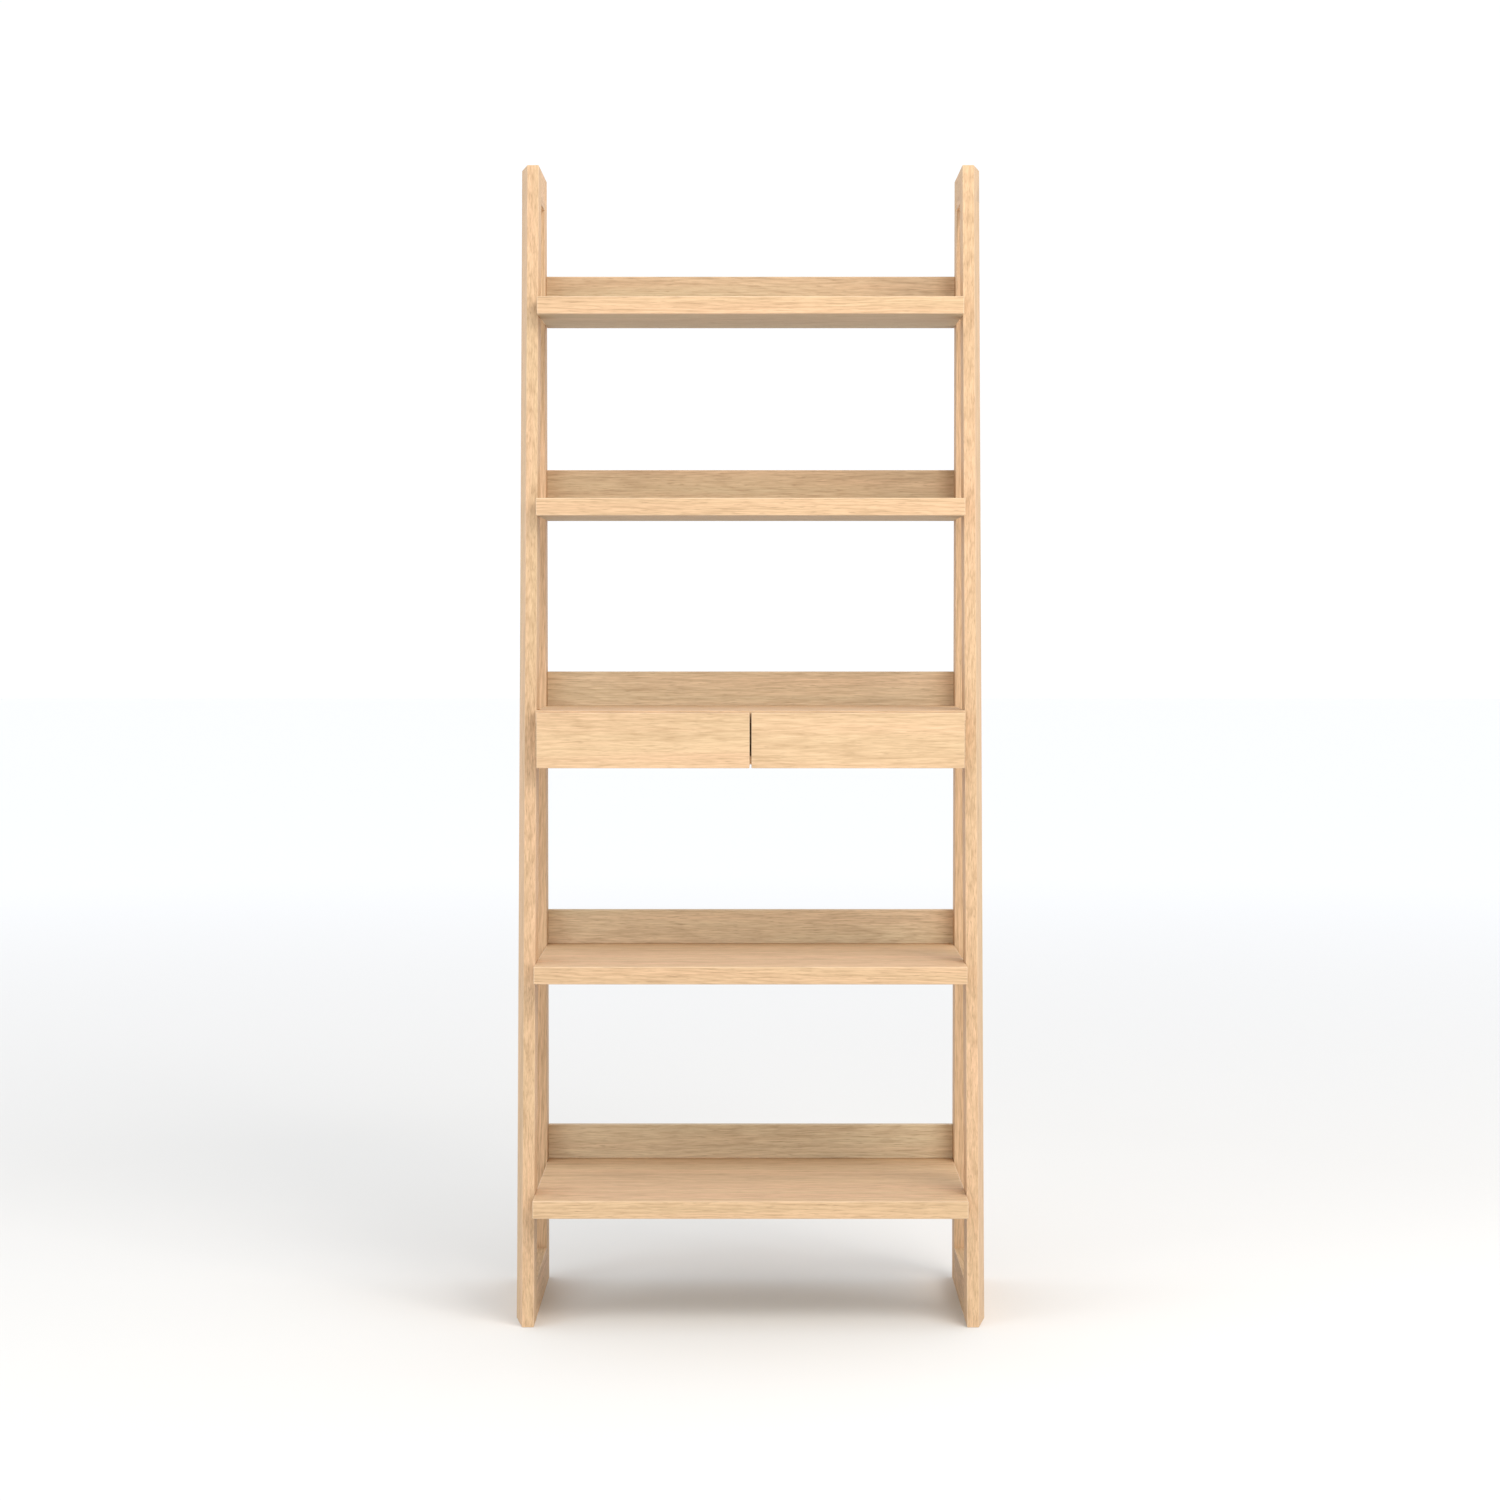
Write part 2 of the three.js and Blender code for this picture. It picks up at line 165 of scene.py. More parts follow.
def oak(name, peach, straw, late, pore, stave=None, pore_share=0.45):
    # Growth rings make arches on flat-sawn faces and straight lines on the edges, and fine dark
    # pores run with the fibres. Real rings are 2 to 4 mm wide and real pores 0.3 mm; the rings
    # are drawn about twice and the pores about three times as coarse, so that they show.
    ring_width = 0.0056
    trunk_taper = 0.020
    middle_shade = 0.34
    material, tree = new_material(name)

    # The grain attribute holds the way along, across and through the board, in metres.
    place = add_node(tree, "Attribute", attribute_name="grain").outputs["Vector"]
    shade = 0.0
    if stave:
        # A wide board is glued up from staves. Each stave comes from another part of the tree and
        # is a little lighter or darker than the next.
        across = add_node(tree, "SeparateXYZ", {"Vector": place}).outputs["Y"]
        count = add_node(tree, "Math", {0: across, 1: stave}, operation="DIVIDE")
        number = add_node(tree, "Math", {0: count}, operation="FLOOR")
        shuffle = add_node(tree, "TexWhiteNoise", {"W": number}, noise_dimensions="1D")
        elsewhere = add_node(tree, "VectorMath", {
            0: shuffle.outputs["Color"], 1: (9.0, 0.03, 0.05), 2: place,
        }, operation="MULTIPLY_ADD")
        half_on = add_node(tree, "Math", {0: number, 1: 0.5}, operation="ADD")
        middle = add_node(tree, "Math", {0: half_on, 1: -stave}, operation="MULTIPLY")
        centring = add_node(tree, "CombineXYZ", {"Y": middle})
        centred = add_node(tree, "VectorMath", {0: elsewhere, 1: centring}, operation="ADD")
        place = centred.outputs["Vector"]
        shade = add_node(tree, "Math", {
            0: shuffle.outputs["Value"], 1: 0.16, 2: -0.08,
        }, operation="MULTIPLY_ADD")

    # Rings round the heart of the tree, which lies beyond the back of the board. They narrow
    # along the trunk and are bent by broad and by small waves.
    section = add_node(tree, "VectorMath", {0: place, 1: (0, 1, 1)}, operation="MULTIPLY")
    radius = add_node(tree, "VectorMath", {0: section}, operation="LENGTH")
    along = add_node(tree, "SeparateXYZ", {"Vector": place}).outputs["X"]
    for moved_by, amount in (
        (along, trunk_taper),
        (patches(tree, place, (550, 90, 90), 2), 0.048),
        (patches(tree, place, (90, 17, 17), 2), 0.007),
    ):
        radius = add_node(tree, "Math", {0: moved_by, 1: amount, 2: radius}, operation="MULTIPLY_ADD")
    years = add_node(tree, "Math", {0: radius, 1: ring_width}, operation="DIVIDE")
    season = add_node(tree, "Math", {0: years}, operation="FRACT")
    ring = add_node(tree, "ValToRGB", {"Fac": season})
    ring.color_ramp.elements.remove(ring.color_ramp.elements[1])
    for at, dark in ((0.0, 0.95), (0.16, 0.40), (0.40, 0.12), (0.84, 0.50), (1.0, 0.95)):
        stop = ring.color_ramp.elements.new(at) if at else ring.color_ramp.elements[0]
        stop.position = at
        stop.color = (dark, dark, dark, 1)

    # Broad bands, streaks, threads and fibres, all drawn out along the grain. Each one swings
    # about its own middle, so that the mean colour stays the same.
    thread = patches(tree, place, (60, 2.5, 2.5), 2)
    fibre = patches(tree, place, (30, 1.1, 1.1), 1)
    for layer, strength, middle in (
        (ring, 0.34, 0.42),
        (patches(tree, place, (1700, 50, 50), 2), 0.6, 0.5),
        (patches(tree, place, (310, 7.7, 7.7), 3), 0.7, 0.5),
        (thread, 1.35, 0.5),
        (fibre, 1.0, 0.5),
    ):
        swing = add_node(tree, "Math", {0: layer, 1: middle}, operation="SUBTRACT")
        shade = add_node(tree, "Math", {0: swing, 1: strength, 2: shade}, operation="MULTIPLY_ADD")
    shade = add_node(tree, "Math", {0: shade, 1: middle_shade}, operation="ADD", use_clamp=True)
    hue = add_node(tree, "MapRange", {
        "Value": patches(tree, place, (1250, 38, 38), 2), "From Min": 0.35, "From Max": 0.65,
    })
    pores = add_node(tree, "MapRange", {
        "Value": patches(tree, place, (22, 1.1, 1.1), 1), "From Min": 0.60, "From Max": 0.74,
    })
    pore_dark = add_node(tree, "Math", {0: pores, 1: pore_share}, operation="MULTIPLY")

    # Eased edges are a little smoother than the faces from wear, and carry a painted highlight.
    wear_and_highlight = add_node(tree, "Attribute", attribute_name="wear_and_highlight").outputs["Fac"]
    highlight_patches = add_node(tree, "Math", {0: patches(tree, place, (70, 70, 70), 2), 1: 0.5}, operation="MULTIPLY")
    edge_highlight = add_node(tree, "Math", {0: wear_and_highlight, 1: highlight_patches}, operation="MULTIPLY")

    # From the clear wood between its two hues to late wood, pores and the painted edge highlight.
    colour = linear(peach)
    for share, over in ((hue, straw), (shade, late), (pore_dark, pore), (edge_highlight, "#ecd4b4")):
        colour = add_node(tree, "Mix", {0: share, 6: colour, 7: linear(over)}, data_type="RGBA")

    raised = add_node(tree, "Math", {0: fibre, 1: 0.5}, operation="MULTIPLY")
    height = add_node(tree, "Math", {0: pores, 1: -0.7, 2: raised}, operation="MULTIPLY_ADD")
    relief = add_node(tree, "Bump", {"Height": height, "Strength": 0.25, "Distance": 0.0003})
    matt = add_node(tree, "MapRange", {"Value": thread, "To Min": 0.48, "To Max": 0.70})
    roughness = add_node(tree, "Math", {0: wear_and_highlight, 1: -0.08, 2: matt}, operation="MULTIPLY_ADD")
    surface = add_node(tree, "BsdfPrincipled", {
        "Base Color": colour, "Roughness": roughness, "IOR": 1.45,
        "Specular IOR Level": 0.35, "Normal": relief,
    })
    add_node(tree, "OutputMaterial", {"Surface": surface})
    return material


# Warm straw to peach, calm from afar, with darker late wood and pores close by. The cut ends
# drink more oil and come out darker, with the pores seen as dots.
OAK_COLOURS = ("#dfb892", "#d8b890", "#ae8d69", "#86684a")
oak_sticks = oak("oiled_oak", *OAK_COLOURS)
oak_ends = oak("oiled_oak_end_grain", "#c2a07a", "#bb9c76", "#8f7150", "#5e4930", pore_share=0.6)


def ring_at(axis, station, outline):
    # The outline's points at one place along the axis.
    others = [a for a in range(3) if a != axis]
    points = []
    for first, second in outline:
        point = Vector()
        point[axis] = station
        point[others[0]] = first
        point[others[1]] = second
        points.append(point)
    return points


def rectangle(first, second):
    return [(first[0], second[0]), (first[1], second[0]), (first[1], second[1]), (first[0], second[1])]


def loft(mesh, rings):
    rows = [[mesh.verts.new(point) for point in ring] for ring in rings]
    for lower, upper in zip(rows, rows[1:]):
        for i in range(len(lower)):
            j = (i + 1) % len(lower)
            mesh.faces.new((lower[i], lower[j], upper[j], upper[i]))
    mesh.faces.new(rows[0])
    mesh.faces.new(rows[-1])
    bmesh.ops.recalc_face_normals(mesh, faces=mesh.faces)
    return rows


def mesh_object(name, mesh):
    data = bpy.data.meshes.new(name)
    mesh.to_mesh(data)
    mesh.free()
    made = bpy.data.objects.new(name, data)
    bpy.context.scene.collection.objects.link(made)
    return made


def eased_timber(name, rings, ease=0.0012, sharp=(), ease_ends=True):
    # The arrises are rounded off by the size of the ease, apart from those listed as sharp, each
    # by the ring it starts from and its corner.
    mesh = bmesh.new()
    rows = loft(mesh, rings)
    count = len(rings[0])
    edges = [
        mesh.edges.get((rows[s][i], rows[s + 1][i]))
        for s in range(len(rows) - 1) for i in range(count) if (s, i) not in sharp
    ]
    if ease_ends:
        for row in (rows[0], rows[-1]):
            edges += [mesh.edges.get((row[i], row[(i + 1) % count])) for i in range(count)]
    bmesh.ops.bevel(
        mesh, geom=edges, offset=ease, segments=3, profile=0.5, affect="EDGES", clamp_overlap=True)
    return mesh_object(name, mesh)


def cut_holes(piece, holes):
    mesh = bmesh.new()
    for rings in holes:
        loft(mesh, rings)
    cutter = mesh_object("cutter", mesh)
    boring = piece.modifiers.new("boring", "BOOLEAN")
    boring.object = cutter
    boring.solver = "EXACT"
    bored = piece.evaluated_get(bpy.context.evaluated_depsgraph_get())
    data = bpy.data.meshes.new_from_object(bored)
    piece.modifiers.clear()
    piece.data = data
    bpy.data.objects.remove(cutter)


def shade_evenly(piece):
    # An eased arris turns by 30 degrees at most from face to face and shades as one curve.
    piece.data.shade_smooth()
    piece.data.set_sharp_from_angle(angle=math.radians(40))
    piece.modifiers.new("even_shading", "WEIGHTED_NORMAL").keep_sharp = True


chance = random.Random(41)


def lay_grain(piece, rings, long_grain, end_grain, flat_sawn=None, layered=False):
    # Every piece gets its own place in the tree. A flat-sawn stick shows the arches of the rings
    # on its narrow face, and is cut a little askew, so that the arches follow each other closely.
    # A layered board counts its plies from its middle. The shift is in metres: up the trunk, off
    # to one side, and out from the heart.
    corners = [point for ring in rings for point in ring]
    start = sum(rings[0], Vector()) / len(rings[0])
    end = sum(rings[-1], Vector()) / len(rings[-1])
    along = (end - start).normalized()
    sides = sorted((Vector(v) for v in ((1, 0, 0), (0, 1, 0), (0, 0, 1))), key=lambda v: abs(v @ along))
    spans = [max(p @ v for p in corners) - min(p @ v for p in corners) for v in sides[:2]]
    wide = flat_sawn or (sides[0] if spans[0] >= spans[1] else sides[1])
    across = (wide - along * (wide @ along)).normalized()
    through = along.cross(across)
    shift = Vector((chance.uniform(0, 40), chance.uniform(-0.03, 0.03), chance.uniform(0.05, 0.11)))
    askew = chance.uniform(-0.03, 0.03)
    if flat_sawn:
        shift.y *= 0.3
        shift.z *= 0.35
        askew = 0.10
    if layered:
        shift.z = 0
        askew = 0
    middle = (start + end) / 2
    grain = piece.data.attributes.new("grain", "FLOAT_VECTOR", "POINT")
    for vertex in piece.data.vertices:
        from_middle = vertex.co - middle
        local = Vector((from_middle @ along, from_middle @ across, from_middle @ through))
        local.z += askew * local.x
        grain.data[vertex.index].vector = local + shift

    # Faces across the fibres are end grain, and faces square to none of the three ways are the
    # eased edges.
    piece.data.materials.clear()
    piece.data.materials.append(long_grain)
    piece.data.materials.append(end_grain)
    # The eased edges are marked for their wear and for a painted highlight.
    wear_and_highlight = piece.data.attributes.new("wear_and_highlight", "FLOAT", "FACE")
    for face in piece.data.polygons:
        face.material_index = 1 if abs(face.normal @ along) > 0.75 else 0
        square = max(abs(face.normal @ way) for way in (along, across, through))
        wear_and_highlight.data[face.index].value = 1.0 if square < 0.97 else 0.0
    shade_evenly(piece)


def fit_piece(piece, node, body):
    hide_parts(node)
    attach(piece, body)


def piece_name(node):
    return node.replace("_", "-")


LEVELS = ("bottom_shelf", "lower_shelf", "drawer_case", "upper_shelf", "top_shelf")
SIDES = (("left", -1), ("right", 1))
PLAY = 0.0003
CUT_BEYOND = 0.001


def round_hole(y, z, steps):
    # A turned shape along X: one circle of 32 corners for each step of place and radius.
    corners = 32
    turns = [2 * math.pi * i / corners for i in range(corners)]
    return [
        [Vector((x, y + radius * math.cos(t), z + radius * math.sin(t))) for t in turns]
        for x, radius in steps
    ]


def dowel_hole(level, label):
    low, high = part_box(f"{level}_{label}_dowel")
    radius = (high.z - low.z) / 2 + PLAY
    steps = [(low.x - PLAY, radius), (high.x + PLAY, radius)]
    return round_hole((low.y + high.y) / 2, (low.z + high.z) / 2, steps)


def screw_hole(level, label, side):
    # A counterbore with a broken rim for the head, and a narrower bore for the shank.
    low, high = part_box(f"{level}_{label}_screw")
    head = (high.z - low.z) / 2 + PLAY
    shank = 0.0038
    head_height = 0.0053
    rim = 0.0008
    outer, point = (high.x, low.x) if side > 0 else (low.x, high.x)
    face = side * cad_high.x
    under_head = outer - side * head_height
    steps = [
        (face + side * CUT_BEYOND, head + rim + CUT_BEYOND), (face - side * rim, head),
        (under_head, head), (under_head, shank), (point - side * PLAY, shank),
    ]
    return round_hole((low.y + high.y) / 2, (low.z + high.z) / 2, steps)


for label, side in SIDES:
    low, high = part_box(f"{label}_rear_post")
    rail_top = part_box(f"{label}_bottom_rail")[1].z
    rail_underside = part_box(f"{label}_top_rail")[0].z
    outline = rectangle((low.x, high.x), (low.y, high.y))
    stations = [low.z, rail_top, rail_underside, high.z]
    rings = [ring_at(2, z, outline) for z in stations]
    # The two arrises that meet the rails are eased only between them.
    sharp = [(0, 0), (0, 1), (2, 0), (2, 1)]
    post = eased_timber(piece_name(f"{label}_rear_post"), rings, sharp=sharp)
    cut_holes(post, [screw_hole(level, label, side) for level in LEVELS])
    lay_grain(post, rings, oak_sticks, oak_ends)
    fit_piece(post, f"{label}_rear_post", "frame")


# Front posts: oak, 70 mm deep, leaning back towards the top. The outer face is planed to a bevel,
# so the post is 34 mm thick behind and shows a 20 mm face in front. Dowels hold the shelves.
POST_FACE = 0.020
POST_DEPTH = 0.070

for label, side in SIDES:
    low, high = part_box(f"{label}_front_post")
    rail_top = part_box(f"{label}_bottom_rail")[1].z
    rail_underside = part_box(f"{label}_top_rail")[0].z
    inner, outer = (low.x, high.x) if side > 0 else (high.x, low.x)
    lean = (high.y - low.y - POST_DEPTH) / (high.z - low.z)
    section = [(inner, 0), (inner + side * POST_FACE, 0), (outer, POST_DEPTH), (inner, POST_DEPTH)]
    stations = [low.z, rail_top, rail_underside, high.z]
    rings = [ring_at(2, z, [(x, low.y + lean * z + y) for x, y in section]) for z in stations]
    # Here too the arrises that meet the rails stay sharp beside them.
    sharp = [(0, 2), (0, 3), (2, 2), (2, 3)]
    post = eased_timber(piece_name(f"{label}_front_post"), rings, sharp=sharp)
    cut_holes(post, [dowel_hole(level, label) for level in LEVELS])
    lay_grain(post, rings, oak_sticks, oak_ends, flat_sawn=Vector((1, 0, 0)))
    fit_piece(post, f"{label}_front_post", "frame")


# Rails: a bottom rail flat on the floor and a top rail flush with the post ends, tenoned and
# glued between the two posts and sanded flush with them. The front end follows the lean.
for label, _ in SIDES:
    post_low, post_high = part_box(f"{label}_front_post")
    lean = (post_high.y - post_low.y - POST_DEPTH) / (post_high.z - post_low.z)
    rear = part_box(f"{label}_rear_post")[0].y
    for rail_name in ("bottom_rail", "top_rail"):
        low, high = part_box(f"{label}_{rail_name}")
        outline = rectangle((low.x, high.x), (low.z, high.z))
        back = ring_at(1, rear, outline)
        front = [Vector((x, post_low.y + POST_DEPTH + lean * z, z)) for x, z in outline]
        rings = [front, back]
        rail = eased_timber(piece_name(f"{label}_{rail_name}"), rings, ease_ends=False)
        lay_grain(rail, rings, oak_sticks, oak_ends)
        fit_piece(rail, f"{label}_{rail_name}", "frame")


# Open shelves: oak boards 30 mm thick, glued up from staves, running from the wall to just in
# front of the leaning posts. Their ends are held by a dowel in front and a screw behind. The
# undersides are painted greyer and darker than the other faces, as painted shade.
STAVE = 0.078
oak_panels = oak("oiled_oak_staves", *OAK_COLOURS, stave=STAVE)
# Greyer and darker oak for the faces that look down, as painted shade.
oak_painted_underside = oak("oak_staves_with_painted_underside_shade", "#c2a887", "#bca885", "#978162", "#77604a", stave=STAVE)


def board(
    node, axis, body, long_grain=oak_panels, end_grain=oak_ends,
    ease=0.0014, holes=(), layered=False,
):
    # A square-edged board that fills its node's box, with the grain along the axis.
    low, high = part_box(node)
    others = [a for a in range(3) if a != axis]
    outline = rectangle(*[(low[a], high[a]) for a in others])
    rings = [ring_at(axis, station, outline) for station in (low[axis], high[axis])]
    piece = eased_timber(piece_name(node), rings, ease=ease)
    if holes:
        cut_holes(piece, holes)
    lay_grain(piece, rings, long_grain, end_grain, layered=layered)
    fit_piece(piece, node, body)
    return piece


def paint_shade_below(piece):
    # The painted shade comes after the long grain and the end grain, for the faces that look down.
    piece.data.materials.append(oak_painted_underside)
    for face in piece.data.polygons:
        if face.normal.z < -0.99:
            face.material_index = 2


for shelf in ("bottom_shelf", "lower_shelf", "upper_shelf", "top_shelf"):
    holes = [dowel_hole(shelf, label) for label, _ in SIDES]
    holes += [screw_hole(shelf, label, side) for label, side in SIDES]
    paint_shade_below(board(shelf, 0, "frame", ease=0.0018, holes=holes))


# Upstands: oak strips 16 mm thick along the rear edge of each open shelf, glued down flush
# with the back, so that nothing falls off behind. The lower ones are painted lighter, as painted
# light in the shade of the shelves above; the upper ones are painted greyer, as painted shade.
oak_painted_darker = oak("oiled_oak_painted_shade", "#d4b795", "#cbb795", "#a88d6e", "#86684a")
oak_painted_lighter = oak("oiled_oak_painted_light", "#e3c7a5", "#dac7a5", "#b49a7a", "#86684a")
for shelf, plank in (
    ("bottom_shelf", oak_painted_lighter), ("lower_shelf", oak_painted_lighter),
    ("upper_shelf", oak_painted_darker), ("top_shelf", oak_painted_darker),
):
    board(f"{shelf}_upstand", 0, "frame", long_grain=plank)


# Drawer case: the middle level, a flat oak box open in front. Its back rises above the top like
# the other upstands, and its bottom stops short of the front so that fingers reach the drawers.
case_holes = [dowel_hole("drawer_case", label) for label, _ in SIDES]
case_holes += [screw_hole("drawer_case", label, side) for label, side in SIDES]
board("drawer_case_top", 0, "frame", holes=case_holes)
# The case back is painted lighter too, as painted light in the shade of the shelves above.
board("drawer_case_back", 0, "frame", long_grain=oak_painted_lighter)
# The bottom's underside gets the painted shade too.
paint_shade_below(board("drawer_case_bottom", 0, "frame"))
for wall in ("left_cheek", "divider", "right_cheek"):
    board(f"drawer_case_{wall}", 1, "frame", long_grain=oak_sticks, ease=0.0008)


# Runners and stops: strips of planed beech glued inside the case. The drawers hang on the
# runners, and each drawer's back meets its stop when the drawer is fully out.
def beech(name, light, dark, fleck):
    # Pinker and plainer than the oak, with hardly a streak. The short dark flecks of beech are
    # 1 to 4 mm long and half a millimetre wide; their width is drawn a little coarser.
    material, tree = new_material(name)
    place = add_node(tree, "Attribute", attribute_name="grain").outputs["Vector"]
    streak = patches(tree, place, (200, 6.3, 6.3), 3)
    flecks = add_node(tree, "MapRange", {
        "Value": patches(tree, place, (3.8, 0.8, 0.8), 1), "From Min": 0.58, "From Max": 0.70,
        "To Max": 0.35,
    })
    colour = linear(light)
    for share, over in ((streak, dark), (flecks, fleck)):
        colour = add_node(tree, "Mix", {0: share, 6: colour, 7: linear(over)}, data_type="RGBA")
    relief = add_node(tree, "Bump", {"Height": streak, "Strength": 0.15, "Distance": 0.0002})
    surface = add_node(tree, "BsdfPrincipled", {
        "Base Color": colour, "Roughness": 0.62, "IOR": 1.45,
        "Specular IOR Level": 0.3, "Normal": relief,
    })
    add_node(tree, "OutputMaterial", {"Surface": surface})
    return material


planed_beech = beech("planed_beech", "#dcb48a", "#c99a70", "#9d6d48")
for label, _ in SIDES:
    for strip, axis in (("inner_runner", 1), ("outer_runner", 1), ("stop", 0)):
        node = f"{label}_drawer_{strip}"
        board(node, axis, "frame", planed_beech, planed_beech, ease=0.0006)


# Drawer fronts: boards of the clearest oak, 20 mm thick with no handles, laid over the case and
# split by a thin gap in the middle. Behind the lower edge a bevel gives the fingers a hold. The
# wood is a shade lighter than the rest and has the weakest figure.
oak_clear = oak("oiled_clear_oak", "#e4be98", "#ddbe96", "#bb9a74", "#917353", pore_share=0.35)
BEVEL_DEPTH = 0.008
BEVEL_HEIGHT = 0.012
BOTTOM_GROOVE = 0.005

for label, _ in SIDES:
    node = f"{label}_drawer_front"
    low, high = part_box(node)
    outline = [
        (low.y, low.z), (high.y - BEVEL_DEPTH, low.z), (high.y, low.z + BEVEL_HEIGHT),
        (high.y, high.z), (low.y, high.z),
    ]
    rings = [ring_at(0, x, outline) for x in (low.x, high.x)]
    front = eased_timber(piece_name(node), rings)
    panel_low, panel_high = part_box(f"{label}_drawer_bottom")
    groove = rectangle(
        (high.y - BOTTOM_GROOVE, high.y + BOTTOM_GROOVE), (panel_low.z - PLAY, panel_high.z + PLAY))
    cut_holes(front, [[ring_at(0, x, groove) for x in (panel_low.x - PLAY, panel_high.x + PLAY)]])
    lay_grain(front, rings, oak_clear, oak_ends)
    fit_piece(front, node, f"{label}_drawer")


# Drawer boxes: thin oak sides with a groove outside for the runner and one inside for the
# bottom, an oak back set above the bottom, and a bottom of birch plywood slid in from behind.
# The oak is sanded and left without oil, pale and dry beside the fronts.
drawer_oak = oak("sanded_oak", "#dcbf9a", "#d4bd98", "#b89873", "#927556")
SIDE_GROOVE = 0.007
GROOVE_PLAY = 0.0005


def birch_plywood(name):
    # Creamy yellow and nearly plain, with a soft broad figure. On the edges the five plies show
    # as stripes 1.2 mm thick, light and dark by turns, with both faces light.
    ply = 0.0012
    material, tree = new_material(name)
    place = add_node(tree, "Attribute", attribute_name="grain").outputs["Vector"]
    figure = patches(tree, place, (330, 70, 70), 3)
    fibre = patches(tree, place, (33, 1.7, 1.7), 2)
    height = add_node(tree, "SeparateXYZ", {"Vector": place}).outputs["Z"]
    turn = add_node(tree, "Math", {0: height, 1: ply}, operation="PINGPONG")
    stripe = add_node(tree, "MapRange", {
        "Value": turn, "From Min": 0.0007, "From Max": 0.0009, "To Max": 0.45,
    })
    colour = linear("#ecd9b6")
    for share, over in ((figure, "#d6b98c"), (stripe, "#b48d5f")):
        colour = add_node(tree, "Mix", {0: share, 6: colour, 7: linear(over)}, data_type="RGBA")
    relief = add_node(tree, "Bump", {"Height": fibre, "Strength": 0.15, "Distance": 0.0002})
    surface = add_node(tree, "BsdfPrincipled", {
        "Base Color": colour, "Roughness": 0.6, "IOR": 1.45,
        "Specular IOR Level": 0.3, "Normal": relief,
    })
    add_node(tree, "OutputMaterial", {"Surface": surface})
    return material


plywood = birch_plywood("birch_plywood")
for label, side in SIDES:
    body = f"{label}_drawer"
    panel_low, panel_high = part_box(f"{label}_drawer_bottom")
    runner_low, runner_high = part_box(f"{label}_drawer_inner_runner")
    for which, inward in (("inner", side), ("outer", -side)):
        node = f"{label}_drawer_{which}_side"
        low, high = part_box(node)
        near, far = (low.x, high.x) if inward > 0 else (high.x, low.x)
        runner_x = near + inward * SIDE_GROOVE
        groove_x = far - inward * BOTTOM_GROOVE
        outline = [
            (near, low.z), (far, low.z),
            (far, panel_low.z - PLAY), (groove_x, panel_low.z - PLAY),
            (groove_x, panel_high.z + PLAY), (far, panel_high.z + PLAY),
            (far, high.z), (near, high.z),
            (near, runner_high.z + GROOVE_PLAY), (runner_x, runner_high.z + GROOVE_PLAY),
            (runner_x, runner_low.z - GROOVE_PLAY), (near, runner_low.z - GROOVE_PLAY),
        ]
        rings = [ring_at(1, y, outline) for y in (low.y, high.y)]
        wall = eased_timber(piece_name(node), rings, ease=0.0006)
        lay_grain(wall, rings, drawer_oak, oak_ends)
        fit_piece(wall, node, body)
    board(f"{label}_drawer_back", 0, body, drawer_oak, ease=0.0008)
    board(f"{label}_drawer_bottom", 0, body, plywood, plywood, ease=0.0004, layered=True)


# Dowels: fluted beech pins 10 mm thick, glued into the front posts and the board ends, where
# they are out of sight.
FLUTES = 12
FLUTE_DEPTH = 0.0004
DOWEL_CHAMFER = 0.001

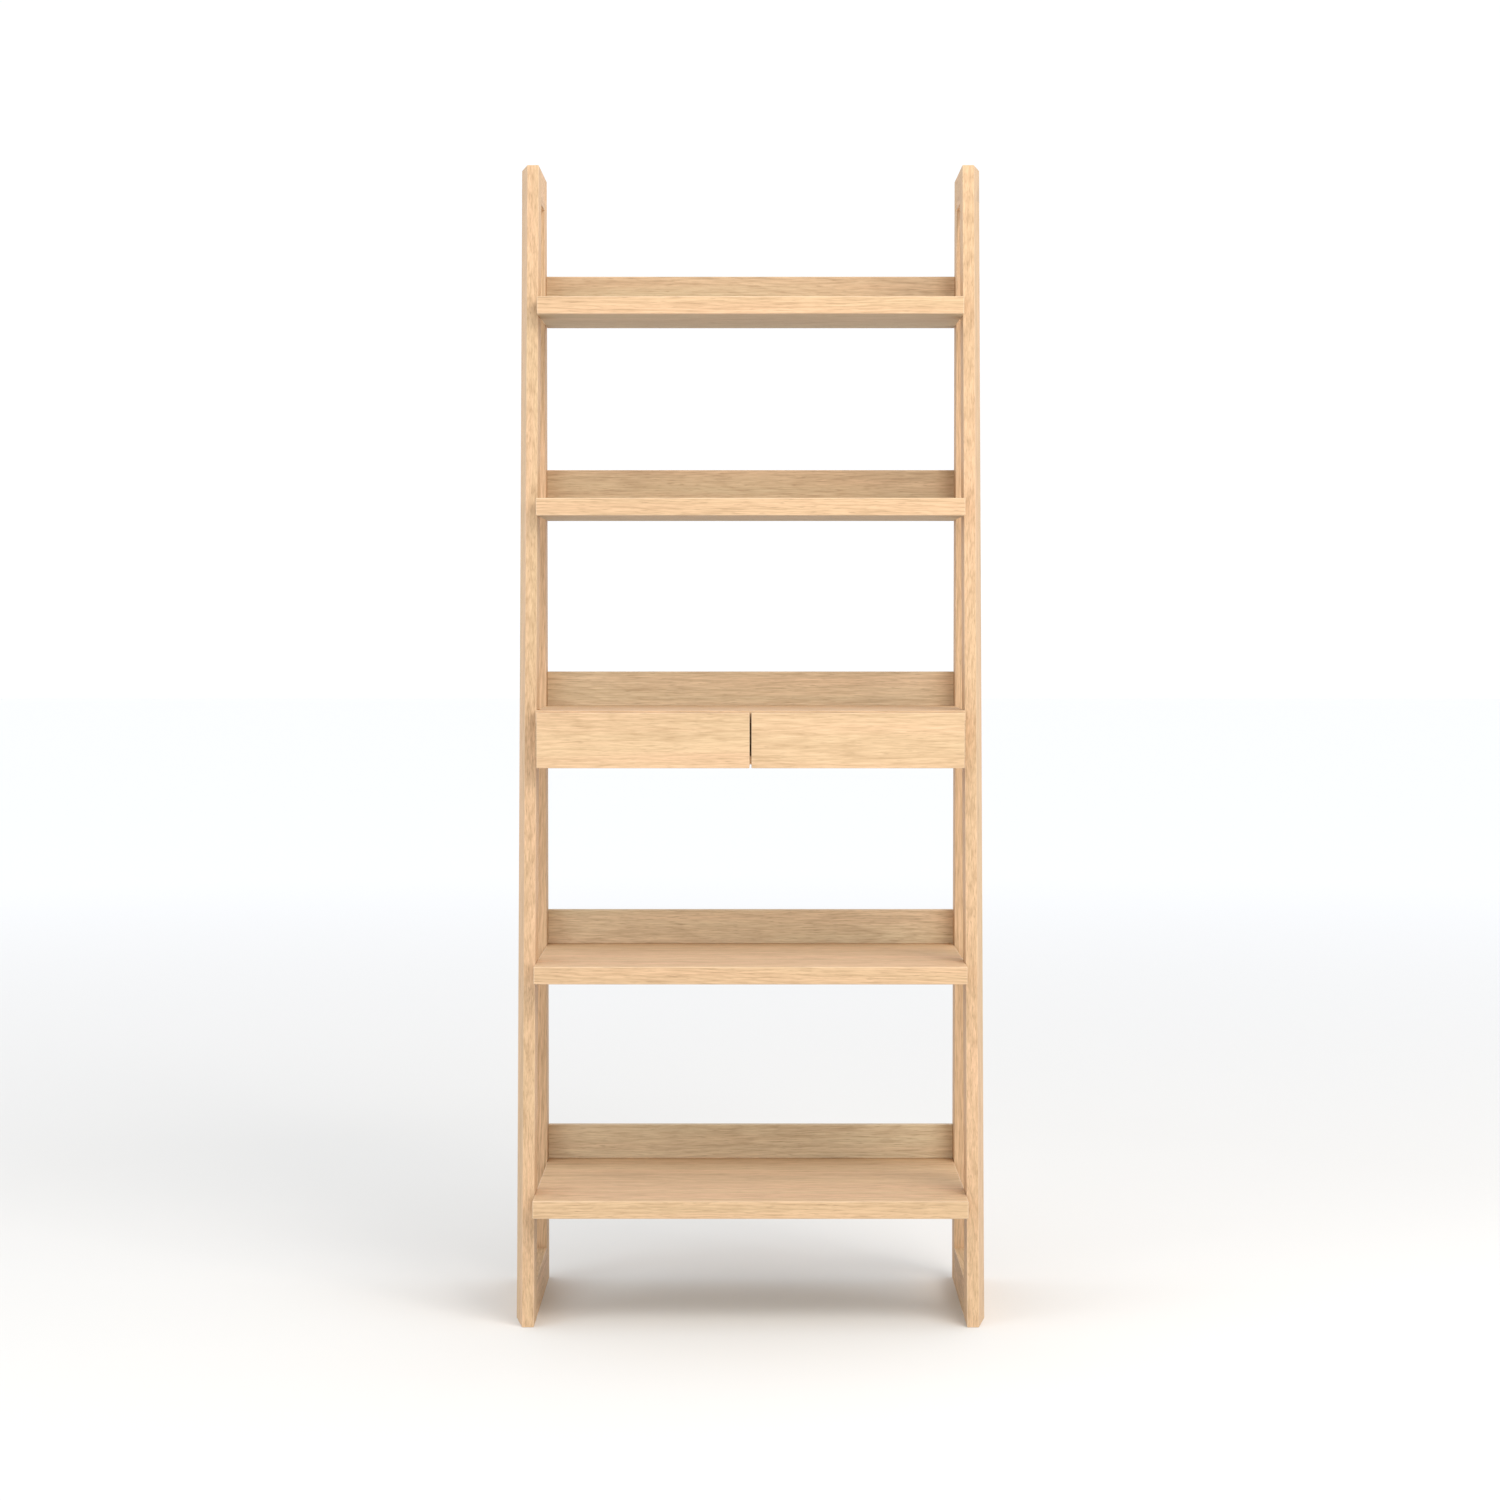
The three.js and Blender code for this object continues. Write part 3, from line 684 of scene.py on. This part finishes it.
for level in LEVELS:
    for label, _ in SIDES:
        node = f"{level}_{label}_dowel"
        low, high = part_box(node)
        centre = (low + high) / 2
        radius = (high.z - low.z) / 2
        rings = []
        for x, inset in (
            (low.x, DOWEL_CHAMFER), (low.x + DOWEL_CHAMFER, 0),
            (high.x - DOWEL_CHAMFER, 0), (high.x, DOWEL_CHAMFER),
        ):
            ring = []
            for i in range(2 * FLUTES):
                turn = math.pi * i / FLUTES
                reach = radius - inset - (FLUTE_DEPTH if i % 2 else 0)
                y = centre.y + reach * math.cos(turn)
                z = centre.z + reach * math.sin(turn)
                ring.append(Vector((x, y, z)))
            rings.append(ring)
        mesh = bmesh.new()
        loft(mesh, rings)
        pin = mesh_object(piece_name(node), mesh)
        lay_grain(pin, rings, planed_beech, planed_beech)
        fit_piece(pin, node, "frame")


# Screws: zinc-plated steel with a sunk cylinder head and a hexagon socket, driven from outside
# through the rear posts into the board ends.
def zinc_plate(name):
    # Cool bright grey, a little cloudy, with a satin shine.
    material, tree = new_material(name)
    place = add_node(tree, "TexCoord").outputs["Object"]
    clouds = patches(tree, place, (1.4, 1.4, 1.4), 3)
    satin = add_node(tree, "MapRange", {"Value": clouds, "To Min": 0.28, "To Max": 0.46})
    surface = add_node(tree, "BsdfPrincipled", {
        "Base Color": linear("#b9bcc0"), "Metallic": 1.0, "Roughness": satin,
    })
    add_node(tree, "OutputMaterial", {"Surface": surface})
    return material


zinc = zinc_plate("zinc_plated_steel")
SOCKET_RADIUS = 0.0029
SOCKET_DEPTH = 0.003
HEAD_HEIGHT = 0.005
HEAD_CHAMFER = 0.0006
SHANK_RADIUS = 0.0035
POINT_LENGTH = 0.003
POINT_RADIUS = 0.0006

for level in LEVELS:
    for label, side in SIDES:
        node = f"{level}_{label}_screw"
        low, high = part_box(node)
        centre = (low + high) / 2
        head = (high.z - low.z) / 2
        top, point = (high.x, low.x) if side > 0 else (low.x, high.x)
        length = abs(top - point)
        steps = [
            (0, head - HEAD_CHAMFER), (HEAD_CHAMFER, head),
            (HEAD_HEIGHT, head), (HEAD_HEIGHT, SHANK_RADIUS),
            (length - POINT_LENGTH, SHANK_RADIUS), (length, POINT_RADIUS),
        ]
        rings = round_hole(centre.y, centre.z, [(top - side * way, radius) for way, radius in steps])
        mesh = bmesh.new()
        loft(mesh, rings)
        screw = mesh_object(piece_name(node), mesh)
        turns = [math.pi / 3 * i for i in range(6)]
        hexagon = [
            (centre.y + SOCKET_RADIUS * math.cos(t), centre.z + SOCKET_RADIUS * math.sin(t)) for t in turns
        ]
        cut_holes(screw, [[ring_at(0, top + side * way, hexagon) for way in (CUT_BEYOND, -SOCKET_DEPTH)]])
        screw.data.materials.append(zinc)
        shade_evenly(screw)
        fit_piece(screw, node, "frame")
